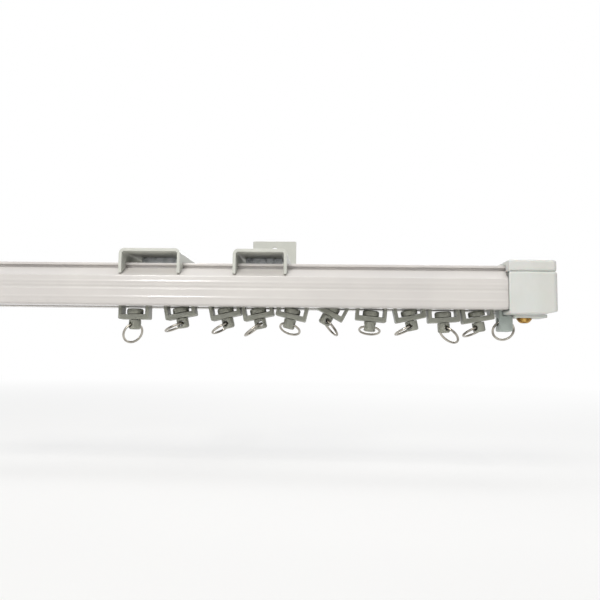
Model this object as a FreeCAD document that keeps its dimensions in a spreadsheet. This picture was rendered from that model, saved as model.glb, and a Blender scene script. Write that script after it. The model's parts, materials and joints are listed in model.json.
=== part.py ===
import FreeCAD, Part
import math
import os
import Sketcher

# Curtain track: an extruded rail hung from two wall brackets, with an end cap at
# each end and ten sliding gliders that each carry a wire ring on a swivel.
# X runs along the rail, -Y faces the room, +Z is up and the wall is the plane Y = 0.
# The origin is the screw hole of the right wall foot, on the wall.

os.makedirs("parts", exist_ok=True)
doc = FreeCAD.newDocument("curtain_track")

# Driving sizes in millimetres
SIZES = {
    # rail section, heights counted from its underside
    "rail_length": 390,
    "rail_depth": 33,
    "rail_height": 27.5,
    "rail_wall": 1.5,
    "rail_slot": 11,
    "rail_lip": 1.8,
    "rail_edge": 1.6,
    "tee_width": 16.6,
    "tee_thickness": 1.6,
    "tee_undercut": 2.5,
    "hook_groove": 1.9,
    "face_drop": 9,
    "shoulder_edge": 1.0,
    "rib_height": 9.9,
    "rib_width": 2.5,
    "rib_depth": 0.5,
    # where the rail hangs: its ends against the right bracket, and its face from the wall
    "rail_right_end": 171.6,
    "projection": 104,
    # end caps
    "cap_length": 29.3,
    "cap_side": 1.5,
    "cap_rise": 2.5,
    "cap_drop": 2.7,
    "cap_drop_middle": 2.4,
    "cap_drop_end": 1,
    "cap_belly": 22.6,
    "cap_corner": 3.5,
    "cap_edge": 1.5,
    "lid_height": 7,
    "lid_inset": 0.35,
    "socket_depth": 21.5,
    "socket_clearance": 0.15,
    "cap_screw_place": 14,
    "cap_floor": 2.2,
    "cap_foot_length": 19.9,
    "cap_foot_offset": 2,
    "cap_foot_depth": 16,
    "cap_foot_thickness": 2.1,
    "cap_nut_length": 10,
    "cap_nut_depth": 17,
    "cap_nut_thickness": 3,
    "cap_screw_shank": 4,
    "cap_screw_clearance": 0.4,
    "cap_screw_head": 9.1,
    "cap_screw_head_height": 3,
    # brackets
    "left_bracket_place": -68.7,
    "left_bracket_width": 38.5,
    "right_bracket_width": 33.5,
    "sheet_thickness": 2,
    "bend_radius": 3.4,
    "arm_gap": 2,
    "arm_rise": 8,
    "arm_leg": 15.5,
    "leg_toe": 1.5,
    "hook_clearance": 0.3,
    "arm_slot_offset": 1.2,
    "arm_slot_margin": 18,
    "arm_slot_width": 6,
    "jaw_width": 24,
    "jaw_thickness": 1.6,
    "jaw_tail": 15.4,
    "clamp_screw_margin": 7,
    "foot_screw_margin": 9,
    "foot_tongue": 44,
    "foot_tongue_width": 26.6,
    "foot_width": 33.7,
    "foot_height": 25.5,
    "foot_thickness": 2,
    "wall_hole_rise": 18.1,
    "wall_hole": 5.5,
    # bracket screws and nuts
    "screw_shank": 5,
    "screw_hole": 5.4,
    "screw_head": 9.2,
    "screw_head_height": 2.2,
    "screw_end": 0.6,
    "nut_flats": 8,
    "nut_thickness": 3,
    "thread_clearance": 0.05,
    # glider yokes, heights counted from the middle of the running shoes
    "yoke_width": 19.4,
    "yoke_depth": 9,
    "yoke_drop": 13.9,
    "yoke_bar": 3.1,
    "yoke_arm": 2.2,
    "yoke_top_width": 14,
    "yoke_bridge": 2.8,
    "yoke_neck": 4,
    "yoke_edge": 0.9,
    "shoe_radius": 3.8,
    "shoe_place": 5,
    "shoe_length": 17,
    "running_gap": 0.3,
    # how far each yoke's middle stands from the right bracket's
    "glider_1_place": -81.1,
    "glider_2_place": -53.3,
    "glider_3_place": -24.9,
    "glider_4_place": -4,
    "glider_5_place": 21.7,
    "glider_6_place": 48.9,
    "glider_7_place": 70,
    "glider_8_place": 91.2,
    "glider_9_place": 113.6,
    "glider_10_place": 133.3,
    # swivels and rings
    "swivel_neck": 4,
    "swivel_neck_clearance": 0.1,
    "swivel_gap": 0.3,
    "swivel_head": 10.3,
    "swivel_head_height": 3.4,
    "swivel_stem": 7.6,
    "swivel_stem_length": 6.1,
    "swivel_edge": 0.8,
    "eye_height": 3,
    "eye_bore": 3.6,
    "ring_diameter": 14.4,
    "ring_wire": 1.5,
    "ring_lift": 0.75,
    # end stop
    "stop_gap": 2.4,
    "stop_length": 8.2,
    "stop_neck": 2,
    "stop_depth": 9,
    "stop_drop": 12.8,
    "stop_clearance": 0.5,
    "stop_head_length": 5,
    "stop_head_height": 3.2,
    "stop_head_depth": 17,
    "stop_edge": 1.2,
    "stop_eye_height": 5.9,
    "stop_eye_bore": 5.2,
    "stop_ring_lift": 0.8,
}

# How each glider lies at rest, from the left: the tilt of its yoke in the slot,
# the turn of its swivel and the swing of its ring, in degrees.
GLIDER_ANGLES = [
    (0, 47, 24),
    (10.7, 82, 76),
    (12.9, 68, 72),
    (12.2, 88, 65),
    (-13, -8, 62),
    (-28, -62, 66),
    (-5, -3, 70),
    (12, 55, 74),
    (3.4, -59, 41),
    (10, 36, 70),
]
STOP_RING_SWING = 28

sheet = doc.addObject("Spreadsheet::Sheet", "dims")
for row, (alias, value) in enumerate(SIZES.items(), 1):
    sheet.set(f"A{row}", alias)
    sheet.set(f"B{row}", str(value))
    sheet.setAlias(f"B{row}", alias)
doc.recompute()


# Working with the sheet, sketches and features


def size(alias):
    return float(sheet.get(alias))


def vector(x, y, z):
    return FreeCAD.Vector(x, y, z)


def turned(axis, degrees, base=(0, 0, 0)):
    return FreeCAD.Placement(vector(*base), FreeCAD.Rotation(vector(*axis), degrees))


def moved(x, y, z):
    return FreeCAD.Placement(vector(x, y, z), FreeCAD.Rotation())


def new_body(label):
    body = doc.addObject("PartDesign::Body", label)
    body.Label = label
    return body


def new_sketch(body, plane, height=None):
    """A sketch on one of the body's own origin planes, or lifted off it by a sheet size."""
    sketch = body.newObject("Sketcher::SketchObject", f"{body.Label}_outline")
    support = next(f for f in body.Origin.OriginFeatures if f.Role == plane)
    sketch.AttachmentSupport = [(support, "")]
    sketch.MapMode = "FlatFace"
    if height is not None:
        sketch.setExpression("AttachmentOffset.Base.z", height)
    return sketch


def polygon(sketch, corners):
    """A closed outline whose corners are pairs of sheet expressions."""
    count = len(corners)
    first = sketch.GeometryCount
    angles = [2 * math.pi * n / count for n in range(count)]
    start = [vector(math.cos(a), math.sin(a), 0) for a in angles]
    lines = [Part.LineSegment(start[n], start[(n + 1) % count]) for n in range(count)]
    sketch.addGeometry(lines, False)
    for n in range(count):
        joined = Sketcher.Constraint("Coincident", first + n, 2, first + (n + 1) % count, 1)
        sketch.addConstraint(joined)
    for n, (across, up) in enumerate(corners):
        place(sketch, first + n, 1, across, up, start[n])


def place(sketch, geometry, point, across, up, start):
    """Hold one sketch point at two sheet expressions."""
    for kind, value, text in (("DistanceX", start.x, across), ("DistanceY", start.y, up)):
        index = sketch.addConstraint(Sketcher.Constraint(kind, -1, 1, geometry, point, value))
        sketch.setExpression(f"Constraints[{index}]", text)


def mirrored(half):
    """A closed outline from its right half, listed from the bottom up."""
    return half + [(f"-({across})", up) for across, up in reversed(half)]


def box_outline(across, low, high):
    """A rectangle centred across, between two heights."""
    return mirrored([(across, low), (across, high)])


def circle(sketch, across, up, diameter):
    centre = vector(1, 1, 0)
    index = sketch.addGeometry(Part.Circle(centre, vector(0, 0, 1), 1), False)
    place(sketch, index, 3, across, up, centre)
    width = sketch.addConstraint(Sketcher.Constraint("Diameter", index, 2))
    sketch.setExpression(f"Constraints[{width}]", diameter)


def pad(body, sketch, length, symmetric=True, reverse=False):
    feature = body.newObject("PartDesign::Pad", f"{body.Label}_pad")
    feature.Profile = sketch
    feature.setExpression("Length", length)
    feature.SideType = "Symmetric" if symmetric else "One side"
    feature.Reversed = reverse
    doc.recompute()
    return feature


def pocket(body, sketch, length, symmetric=False, reverse=False):
    feature = body.newObject("PartDesign::Pocket", f"{body.Label}_pocket")
    feature.Profile = sketch
    feature.setExpression("Length", length)
    feature.SideType = "Symmetric" if symmetric else "One side"
    feature.Reversed = reverse
    doc.recompute()
    return feature


def revolution(body, sketch):
    feature = body.newObject("PartDesign::Revolution", f"{body.Label}_turned")
    feature.Profile = sketch
    feature.ReferenceAxis = (sketch, ["V_Axis"])
    feature.Angle = 360
    doc.recompute()
    return feature


def fillet(body, base, radius, wanted):
    """Round every edge of the last feature that the wanted test picks."""
    names = [f"Edge{n}" for n, edge in enumerate(base.Shape.Edges, 1) if wanted(edge)]
    feature = body.newObject("PartDesign::Fillet", f"{body.Label}_fillet")
    feature.Base = (base, names)
    feature.setExpression("Radius", radius)
    doc.recompute()
    return feature


def along(edge, axis):
    """Whether a straight edge runs along the axis numbered 0, 1 or 2."""
    box = edge.BoundBox
    spans = [box.XLength, box.YLength, box.ZLength]
    return spans.pop(axis) > 0.01 and max(spans) < 0.001


def level(edge, height):
    """Whether an edge lies wholly at one height."""
    box = edge.BoundBox
    return abs(box.ZMin - height) < 0.001 and abs(box.ZMax - height) < 0.001


def near(value, target):
    return abs(value - target) < 0.01


# Places that several pieces share, all worked out from the sheet

ARM_LENGTH = "(dims.projection - dims.foot_thickness - dims.arm_gap)"
TEE_BACK = "(dims.rail_depth + dims.tee_width) / 2"
FACE_TOP = "(dims.rail_height - dims.face_drop)"
SLOT_END = "(dims.projection - dims.foot_thickness - dims.arm_slot_margin)"
FOOT_SCREW = "(dims.projection - dims.foot_thickness - dims.arm_slot_margin - dims.foot_screw_margin)"

RAIL_MIDDLE = size("rail_depth") / 2 - size("projection")
ARM_TOP = size("rail_height") + size("arm_rise")
WEB_UNDERSIDE = ARM_TOP - size("sheet_thickness")
RAIL_BOTTOM = -(WEB_UNDERSIDE + size("wall_hole_rise"))
RAIL_LEFT_END = size("rail_right_end") - size("rail_length")
CAP_REACH = size("socket_depth") - size("socket_clearance")
LID_SEAT = size("rail_height") + size("cap_rise") - size("lid_height")
CAP_FACE = size("rail_right_end") - CAP_REACH
BRACKETS = {"left": size("left_bracket_place"), "right": 0}


# Rail


def build_rail():
    body = new_body("rail")
    # the section runs up the outside from the slot, and back down the inside
    tee = "dims.tee_width / 2"
    neck = "dims.tee_width / 2 - dims.tee_undercut"
    tee_underside = "dims.rail_height - dims.tee_thickness"
    shoulder = f"{tee_underside} - dims.hook_groove"
    face = "dims.rail_depth / 2"
    rib = f"{face} - dims.rib_depth"
    inside = f"{face} - dims.rail_wall"
    outside_half = [
        ("dims.rail_slot / 2", "0 mm"),
        (face, "0 mm"),
        (face, "dims.rib_height"),
        (rib, "dims.rib_height + dims.rib_depth"),
        (rib, "dims.rib_height + dims.rib_width - dims.rib_depth"),
        (face, "dims.rib_height + dims.rib_width"),
        (face, FACE_TOP),
        (tee, shoulder),
        (neck, shoulder),
        (neck, tee_underside),
        (tee, tee_underside),
        (tee, "dims.rail_height"),
    ]
    inside_half = [
        ("dims.rail_slot / 2", "dims.rail_lip"),
        (inside, "dims.rail_lip"),
        (inside, f"{FACE_TOP} - dims.rail_wall / 2"),
        (f"{tee} - dims.rail_wall / 3", f"{shoulder} - dims.rail_wall"),
        (f"{neck} - dims.rail_wall", f"{shoulder} - dims.rail_wall"),
        (f"{neck} - dims.rail_wall", tee_underside),
    ]
    section = new_sketch(body, "YZ_Plane")
    flipped = [(f"-({across})", up) for across, up in inside_half]
    inner = flipped + list(reversed(inside_half))
    outer = outside_half + [(f"-({across})", up) for across, up in reversed(outside_half)]
    polygon(section, outer + inner)
    base = pad(body, section, "dims.rail_length", symmetric=False)
    half = size("rail_depth") / 2

    def bottom_edge(edge):
        centre = edge.CenterOfMass
        return along(edge, 0) and level(edge, 0) and near(abs(centre.y), half)

    def shoulder_edge(edge):
        centre = edge.CenterOfMass
        corner = near(centre.z, size("rail_height") - size("face_drop")) and near(abs(centre.y), half)
        return along(edge, 0) and corner

    rounded = fillet(body, base, "dims.rail_edge", bottom_edge)
    fillet(body, rounded, "dims.shoulder_edge", shoulder_edge)
    body.Placement = moved(RAIL_LEFT_END, RAIL_MIDDLE, RAIL_BOTTOM)
    return body


# End caps, modelled with the rail coming in from the left and its underside at zero


def cap_placement(side):
    if side == "right":
        return moved(CAP_FACE, RAIL_MIDDLE, RAIL_BOTTOM)
    return turned((0, 0, 1), 180, (RAIL_LEFT_END + CAP_REACH, RAIL_MIDDLE, RAIL_BOTTOM))


def outer_upright(length):
    """Picks the upright edges at the cap's outer end."""

    def wanted(edge):
        return along(edge, 2) and near(edge.CenterOfMass.x, length)

    return wanted


def outer_rim(height):
    """Picks the edges round the cap's outside at one height, its inner face apart."""
    side = size("rail_depth") / 2 + size("cap_side")

    def wanted(edge):
        centre = edge.CenterOfMass
        outside = centre.x > size("socket_depth") or near(abs(centre.y), side)
        return level(edge, height) and outside

    return wanted


def build_cap_body(side):
    body = new_body(f"{side}_cap_body")
    seat = "dims.rail_height + dims.cap_rise - dims.lid_height"
    depth = "dims.rail_depth + 2 * dims.cap_side"
    profile = new_sketch(body, "XZ_Plane")
    polygon(
        profile,
        [
            ("0 mm", "-dims.cap_drop"),
            ("dims.cap_belly", "-dims.cap_drop_middle"),
            ("dims.cap_length", "-dims.cap_drop_end"),
            ("dims.cap_length", seat),
            ("0 mm", seat),
        ],
    )
    block = pad(body, profile, depth)
    uprights = fillet(body, block, "dims.cap_corner", outer_upright(size("cap_length")))
    fillet(body, uprights, "dims.cap_edge", outer_rim(LID_SEAT))
    socket = new_sketch(body, "YZ_Plane")
    wide = "dims.rail_depth / 2 + dims.socket_clearance"
    polygon(socket, box_outline(wide, "-dims.socket_clearance", seat))
    pocket(body, socket, "dims.socket_depth", reverse=True)
    recess = new_sketch(body, "XY_Plane", "-dims.cap_floor")
    middle = "dims.cap_screw_place + dims.cap_foot_offset"
    half_foot = "(dims.cap_foot_length / 2 + dims.socket_clearance)"
    deep = "dims.cap_foot_depth / 2 + dims.socket_clearance"
    polygon(
        recess,
        [
            (f"{middle} - {half_foot}", f"-({deep})"),
            (f"{middle} + {half_foot}", f"-({deep})"),
            (f"{middle} + {half_foot}", deep),
            (f"{middle} - {half_foot}", deep),
        ],
    )
    pocket(body, recess, "dims.cap_drop")
    hole = new_sketch(body, "XY_Plane")
    circle(hole, "dims.cap_screw_place", "0 mm", "dims.cap_screw_shank + dims.cap_screw_clearance")
    pocket(body, hole, "2 * dims.cap_drop")
    body.Placement = cap_placement(side)
    return body


def build_cap_lid(side):
    body = new_body(f"{side}_cap_lid")
    seat = "dims.rail_height + dims.cap_rise - dims.lid_height"
    top = "dims.rail_height + dims.cap_rise"
    end = "dims.cap_length - dims.lid_inset"
    profile = new_sketch(body, "XZ_Plane")
    polygon(profile, [("0 mm", seat), (end, seat), (end, top), ("0 mm", top)])
    block = pad(body, profile, "dims.rail_depth + 2 * dims.cap_side")
    length = size("cap_length") - size("lid_inset")
    uprights = fillet(body, block, "dims.cap_corner", outer_upright(length))
    lower = fillet(body, uprights, "dims.cap_edge", outer_rim(LID_SEAT))
    roof = size("rail_height") + size("cap_rise")
    fillet(body, lower, "dims.cap_edge", outer_rim(roof))
    # the lid's recess takes the tee and the top of the rail's shoulders
    recess = new_sketch(body, "YZ_Plane")
    wide = "dims.tee_width / 2 + dims.hook_groove + dims.socket_clearance"
    polygon(recess, box_outline(wide, seat, "dims.rail_height + dims.socket_clearance"))
    pocket(body, recess, "dims.socket_depth", reverse=True)
    body.Placement = cap_placement(side)
    return body


def plate(label, length, depth, thickness, underside, bore, offset="0"):
    """A small flat plate with rounded corners, and a screw hole that its middle is offset from."""
    body = new_body(label)
    outline = new_sketch(body, "XY_Plane", underside)
    polygon(
        outline,
        [
            (f"{offset} - {length} / 2", f"-{depth} / 2"),
            (f"{offset} + {length} / 2", f"-{depth} / 2"),
            (f"{offset} + {length} / 2", f"{depth} / 2"),
            (f"{offset} - {length} / 2", f"{depth} / 2"),
        ],
    )
    circle(outline, "0 mm", "0 mm", bore)
    block = pad(body, outline, thickness, symmetric=False)

    def corner(edge):
        return along(edge, 2) and abs(edge.CenterOfMass.x) > size("cap_screw_shank")

    fillet(body, block, "dims.cap_edge", corner)
    return body


def build_screw(label, shank, head, head_height, length):
    """A pan-head screw with a cross recess: its head hangs below the plane it seats on."""
    body = new_body(label)
    profile = new_sketch(body, "XZ_Plane")
    polygon(
        profile,
        [
            ("0 mm", f"-{head_height}"),
            (f"{head} / 4", f"-{head_height}"),
            (f"3 * {head} / 8", f"-3 * {head_height} / 4"),
            (f"{head} / 2", f"-{head_height} / 4"),
            (f"{head} / 2", "0 mm"),
            (f"{shank} / 2", "0 mm"),
            (f"{shank} / 2", f"{length} - {shank} / 8"),
            (f"{shank} / 2 - {shank} / 8", length),
            ("0 mm", length),
        ],
    )
    revolution(body, profile)
    cross = new_sketch(body, "XY_Plane", f"-{head_height} / 2")
    thin = f"{shank} / 10"
    long = f"{shank} / 2"
    arms = [(long, thin), (thin, thin), (thin, long)]
    quarter = arms + [(f"-({x})", y) for x, y in reversed(arms)]
    polygon(cross, quarter + [(f"-({x})", f"-({y})") for x, y in quarter])
    pocket(body, cross, head_height)
    return body


def build_cap_fasteners(side):
    """The foot under the cap, the nut that grips the rail's lips, and their brass screw."""
    hole = "dims.cap_screw_shank + dims.cap_screw_clearance"
    foot = plate(
        f"{side}_cap_foot",
        "dims.cap_foot_length",
        "dims.cap_foot_depth",
        "dims.cap_foot_thickness",
        "-dims.cap_floor - dims.cap_foot_thickness",
        hole,
        "dims.cap_foot_offset",
    )
    nut = plate(
        f"{side}_cap_nut",
        "dims.cap_nut_length",
        "dims.cap_nut_depth",
        "dims.cap_nut_thickness",
        "dims.rail_lip",
        "dims.cap_screw_shank + 2 * dims.thread_clearance",
    )
    grip = "dims.cap_foot_thickness + dims.cap_floor + dims.rail_lip + dims.cap_nut_thickness"
    screw = build_screw(
        f"{side}_cap_screw",
        "dims.cap_screw_shank",
        "dims.cap_screw_head",
        "dims.cap_screw_head_height",
        f"({grip} + dims.screw_end)",
    )
    at_screw = cap_placement(side).multiply(moved(size("cap_screw_place"), 0, 0))
    foot.Placement = at_screw
    nut.Placement = at_screw
    seat = size("cap_floor") + size("cap_foot_thickness")
    screw.Placement = at_screw.multiply(moved(0, 0, -seat))
    return [foot, nut, screw]


# Brackets, modelled with the rail's face at Y = 0 and its underside at zero


def bracket_placement(side):
    return moved(BRACKETS[side], -size("projection"), RAIL_BOTTOM)


def build_arm(side):
    """A folded channel whose two legs hook over the front of the rail's tee."""
    body = new_body(f"{side}_bracket_arm")
    outer = f"dims.{side}_bracket_width / 2"
    inner = f"{outer} - dims.sheet_thickness"
    top = "dims.rail_height + dims.arm_rise"
    foot = f"{top} - dims.arm_leg"
    web = f"{top} - dims.sheet_thickness"
    channel = new_sketch(body, "XZ_Plane")
    polygon(
        channel,
        [
            (inner, foot),
            (outer, foot),
            (outer, top),
            (f"-({outer})", top),
            (f"-({outer})", foot),
            (f"-({inner})", foot),
            (f"-({inner})", web),
            (inner, web),
        ],
    )
    folded = pad(body, channel, ARM_LENGTH, symmetric=False, reverse=True)
    half = size(f"{side}_bracket_width") / 2

    def outer_bend(edge):
        centre = edge.CenterOfMass
        return along(edge, 1) and near(abs(centre.x), half) and near(centre.z, ARM_TOP)

    def inner_bend(edge):
        centre = edge.CenterOfMass
        inside = half - size("sheet_thickness")
        return along(edge, 1) and near(abs(centre.x), inside) and near(centre.z, WEB_UNDERSIDE)

    bent = fillet(body, folded, "dims.bend_radius", outer_bend)
    fillet(body, bent, "dims.bend_radius - dims.sheet_thickness", inner_bend)
    # the notch leaves a toe in front of the tee, with a nib in the rail's front groove
    lip = "(dims.rail_depth - dims.tee_width) / 2"
    groove = f"{lip} + dims.tee_undercut"
    tee_underside = "dims.rail_height - dims.tee_thickness"
    shoulder = f"{tee_underside} - dims.hook_groove"
    below = f"{foot} - dims.arm_leg"
    notch = new_sketch(body, "YZ_Plane")
    polygon(
        notch,
        [
            ("dims.leg_toe", below),
            ("dims.leg_toe", foot),
            (lip, f"{shoulder} + 1.5 * dims.hook_clearance"),
            (f"{groove} - 2 * dims.hook_clearance", f"{shoulder} + 1.5 * dims.hook_clearance"),
            (f"{groove} - 2 * dims.hook_clearance", f"{tee_underside} - dims.hook_clearance"),
            (f"{lip} - dims.hook_clearance", f"{tee_underside} - dims.hook_clearance"),
            (f"{lip} - dims.hook_clearance", "dims.rail_height + dims.hook_clearance"),
            ("dims.rail_depth + dims.leg_toe", "dims.rail_height + dims.hook_clearance"),
            ("dims.rail_depth + dims.leg_toe", below),
        ],
    )
    pocket(body, notch, "2 * dims.left_bracket_width", symmetric=True)
    slot = new_sketch(body, "XY_Plane", "dims.rail_height")
    wide = "dims.arm_slot_width / 2"
    polygon(
        slot,
        [
            (f"-{wide}", f"{TEE_BACK} + dims.arm_slot_offset"),
            (wide, f"{TEE_BACK} + dims.arm_slot_offset"),
            (wide, SLOT_END),
            (f"-{wide}", SLOT_END),
        ],
    )
    slotted = pocket(body, slot, "2 * dims.arm_rise", reverse=True)

    def slot_corner(edge):
        return along(edge, 2) and near(abs(edge.CenterOfMass.x), size("arm_slot_width") / 2)

    fillet(body, slotted, "0.99 * dims.arm_slot_width / 2", slot_corner)
    body.Placement = bracket_placement(side)
    return body


def build_jaw(side):
    """The clamp jaw: a folded strip that hooks the back of the rail's tee."""
    body = new_body(f"{side}_bracket_jaw")
    tee_underside = "dims.rail_height - dims.tee_thickness"
    web = "dims.rail_height + dims.arm_rise - dims.sheet_thickness"
    claw = f"{tee_underside} - dims.hook_groove + dims.hook_clearance"
    profile = new_sketch(body, "YZ_Plane")
    polygon(
        profile,
        [
            (f"{TEE_BACK} - dims.tee_undercut + 2 * dims.hook_clearance", claw),
            (f"{TEE_BACK} + dims.hook_clearance + dims.jaw_thickness", claw),
            (f"{TEE_BACK} + dims.hook_clearance + dims.jaw_thickness", f"{web} - dims.jaw_thickness"),
            (f"{TEE_BACK} + dims.hook_clearance + dims.jaw_tail", f"{web} - dims.jaw_thickness"),
            (f"{TEE_BACK} + dims.hook_clearance + dims.jaw_tail", web),
            (f"{TEE_BACK} + dims.hook_clearance", web),
            (f"{TEE_BACK} + dims.hook_clearance", f"{tee_underside} - dims.hook_clearance"),
            (
                f"{TEE_BACK} - dims.tee_undercut + 2 * dims.hook_clearance",
                f"{tee_underside} - dims.hook_clearance",
            ),
        ],
    )
    pad(body, profile, "dims.jaw_width")
    hole = new_sketch(body, "XY_Plane", "dims.rail_height")
    circle(hole, "0 mm", f"{TEE_BACK} + dims.clamp_screw_margin", "dims.screw_hole")
    pocket(body, hole, "2 * dims.arm_rise", reverse=True)
    body.Placement = bracket_placement(side)
    return body


def build_foot(side):
    """The L-shaped wall foot: turned up on the right and turned down on the left."""
    body = new_body(f"{side}_bracket_foot")
    profile = new_sketch(body, "YZ_Plane")
    polygon(
        profile,
        [
            ("-dims.foot_tongue", "-dims.foot_thickness"),
            ("0 mm", "-dims.foot_thickness"),
            ("0 mm", "dims.foot_height"),
            ("-dims.foot_thickness", "dims.foot_height"),
            ("-dims.foot_thickness", "0 mm"),
            ("-dims.foot_tongue", "0 mm"),
        ],
    )
    bent = pad(body, profile, "dims.foot_width")

    def heel(edge):
        centre = edge.CenterOfMass
        return along(edge, 0) and near(centre.y, 0) and centre.z < 0

    fillet(body, bent, "dims.foot_thickness", heel)
    # the tongue is narrower than the plate, so that it slides inside the channel
    strips = new_sketch(body, "XY_Plane", "-2 * dims.foot_thickness")
    narrow = "dims.foot_tongue_width / 2"
    for sign in ("", "-"):
        polygon(
            strips,
            [
                (f"{sign}{narrow}", "-2 * dims.foot_tongue"),
                (f"{sign}dims.foot_width", "-2 * dims.foot_tongue"),
                (f"{sign}dims.foot_width", "-2 * dims.foot_thickness"),
                (f"{sign}{narrow}", "-2 * dims.foot_thickness"),
            ],
        )
    pocket(body, strips, "4 * dims.foot_thickness", reverse=True)
    wall_hole = new_sketch(body, "XZ_Plane")
    circle(wall_hole, "0 mm", "dims.wall_hole_rise", "dims.wall_hole")
    pocket(body, wall_hole, "6 * dims.foot_thickness", symmetric=True)
    screw_hole = new_sketch(body, "XY_Plane")
    circle(screw_hole, "0 mm", f"{FOOT_SCREW} - dims.projection", "dims.screw_hole")
    drilled = pocket(body, screw_hole, "6 * dims.foot_thickness", symmetric=True)

    def plate_corner(edge):
        centre = edge.CenterOfMass
        return along(edge, 1) and near(centre.z, size("foot_height"))

    fillet(body, drilled, "dims.foot_thickness / 2", plate_corner)
    height = RAIL_BOTTOM + WEB_UNDERSIDE
    if side == "right":
        body.Placement = moved(BRACKETS[side], 0, height)
    else:
        lowered = height - size("foot_thickness")
        body.Placement = turned((0, 1, 0), 180, (BRACKETS[side], 0, lowered))
    return body


def build_nut(label):
    prism = doc.addObject("Part::Prism", f"{label}_hexagon")
    prism.Polygon = 6
    prism.setExpression("Circumradius", "dims.nut_flats / 2 / cos(30 deg)")
    prism.setExpression("Height", "dims.nut_thickness")
    bore = doc.addObject("Part::Cylinder", f"{label}_bore")
    bore.setExpression("Radius", "dims.screw_shank / 2 + dims.thread_clearance")
    bore.setExpression("Height", "dims.nut_thickness")
    nut = doc.addObject("Part::Cut", label)
    nut.Base = prism
    nut.Tool = bore
    return nut


def build_bracket_fasteners(side):
    """The clamp screw and the foot screw, with a nut each on top of the arm."""
    foot_screw = size("projection") - size("foot_thickness")
    foot_screw -= size("arm_slot_margin") + size("foot_screw_margin")
    clamp_screw = (size("rail_depth") + size("tee_width")) / 2 + size("clamp_screw_margin")
    stacks = {
        "clamp": ("dims.jaw_thickness", clamp_screw),
        "foot": ("dims.foot_thickness", foot_screw),
    }
    screws = []
    nuts = []
    for use, (thickness, back) in stacks.items():
        grip = f"{thickness} + dims.sheet_thickness + dims.nut_thickness + dims.screw_end"
        screw = build_screw(
            f"{side}_{use}_screw",
            "dims.screw_shank",
            "dims.screw_head",
            "dims.screw_head_height",
            f"({grip})",
        )
        nut = build_nut(f"{side}_{use}_nut")
        gripped = size(thickness.removeprefix("dims."))
        here = bracket_placement(side)
        screw.Placement = here.multiply(moved(0, back, WEB_UNDERSIDE - gripped))
        nut.Placement = here.multiply(moved(0, back, ARM_TOP))
        screws.append(screw)
        nuts.append(nut)
    return [group(f"{side}_bracket_screws", screws), group(f"{side}_bracket_nuts", nuts)]


def group(label, members):
    compound = doc.addObject("Part::Compound", label)
    compound.Label = label
    compound.Links = members
    return compound


# Gliders: a moulded yoke that runs in the slot, a swivel and a wire ring


def yoke_placement(x, tilt):
    """The lower shoe stays on the rail's lips, however the yoke tilts."""
    lift = size("rail_lip") + size("running_gap") + size("shoe_radius")
    raised = size("shoe_place") * math.sin(math.radians(abs(tilt)))
    return turned((0, -1, 0), tilt, (x, RAIL_MIDDLE, RAIL_BOTTOM + lift + raised))


def build_yoke(number, placement):
    body = new_body(f"glider_{number}_yoke")
    half = "dims.yoke_width / 2"
    inner = f"{half} - dims.yoke_arm"
    crown = "dims.yoke_bridge / 2"
    outer_frame = [
        (half, "-dims.yoke_drop"),
        (half, "-dims.yoke_neck"),
        ("dims.yoke_top_width / 2", crown),
    ]
    window = [
        (inner, "-dims.yoke_drop + dims.yoke_bar"),
        (inner, "-dims.yoke_neck"),
        ("dims.yoke_top_width / 2 - dims.yoke_arm", f"-{crown}"),
    ]
    frame = new_sketch(body, "XZ_Plane")
    polygon(frame, mirrored(outer_frame))
    polygon(frame, mirrored(window))
    block = pad(body, frame, "dims.yoke_depth")
    drop = size("yoke_drop")

    def bottom_corner(edge):
        return along(edge, 1) and near(edge.CenterOfMass.z, -drop)

    fillet(body, block, "dims.yoke_edge", bottom_corner)
    shoes = new_sketch(body, "XZ_Plane")
    circle(shoes, "dims.shoe_place", "0 mm", "2 * dims.shoe_radius")
    circle(shoes, "-dims.shoe_place", "0 mm", "2 * dims.shoe_radius")
    pad(body, shoes, "dims.shoe_length")
    hole = new_sketch(body, "XY_Plane", "-dims.yoke_drop - dims.yoke_bar")
    circle(hole, "0 mm", "0 mm", "dims.swivel_neck + 2 * dims.swivel_neck_clearance")
    pocket(body, hole, "3 * dims.yoke_bar", reverse=True)
    body.Placement = placement
    return body


def build_swivel(number, placement):
    """A drum above the yoke's bar, a neck through it and a bored stem below it."""
    body = new_body(f"glider_{number}_swivel")
    stem_top = "-dims.yoke_drop - dims.swivel_gap"
    stem_bottom = f"{stem_top} - dims.swivel_stem_length"
    drum = "-dims.yoke_drop + dims.yoke_bar + dims.swivel_gap"
    drum_top = f"{drum} + dims.swivel_head_height"
    stem = "dims.swivel_stem / 2"
    profile = new_sketch(body, "XZ_Plane")
    polygon(
        profile,
        [
            ("0 mm", stem_bottom),
            (f"{stem} - dims.swivel_edge", stem_bottom),
            (stem, f"{stem_bottom} + dims.swivel_edge"),
            (stem, stem_top),
            ("dims.swivel_neck / 2", stem_top),
            ("dims.swivel_neck / 2", drum),
            ("dims.swivel_head / 2", drum),
            ("dims.swivel_head / 2", f"{drum_top} - dims.swivel_edge"),
            ("dims.swivel_head / 2 - dims.swivel_edge", drum_top),
            ("0 mm", drum_top),
        ],
    )
    revolution(body, profile)
    eye = new_sketch(body, "YZ_Plane")
    circle(eye, "0 mm", f"{stem_bottom} + dims.eye_height", "dims.eye_bore")
    pocket(body, eye, "2 * dims.swivel_stem", symmetric=True)
    body.Placement = placement
    return body


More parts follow.
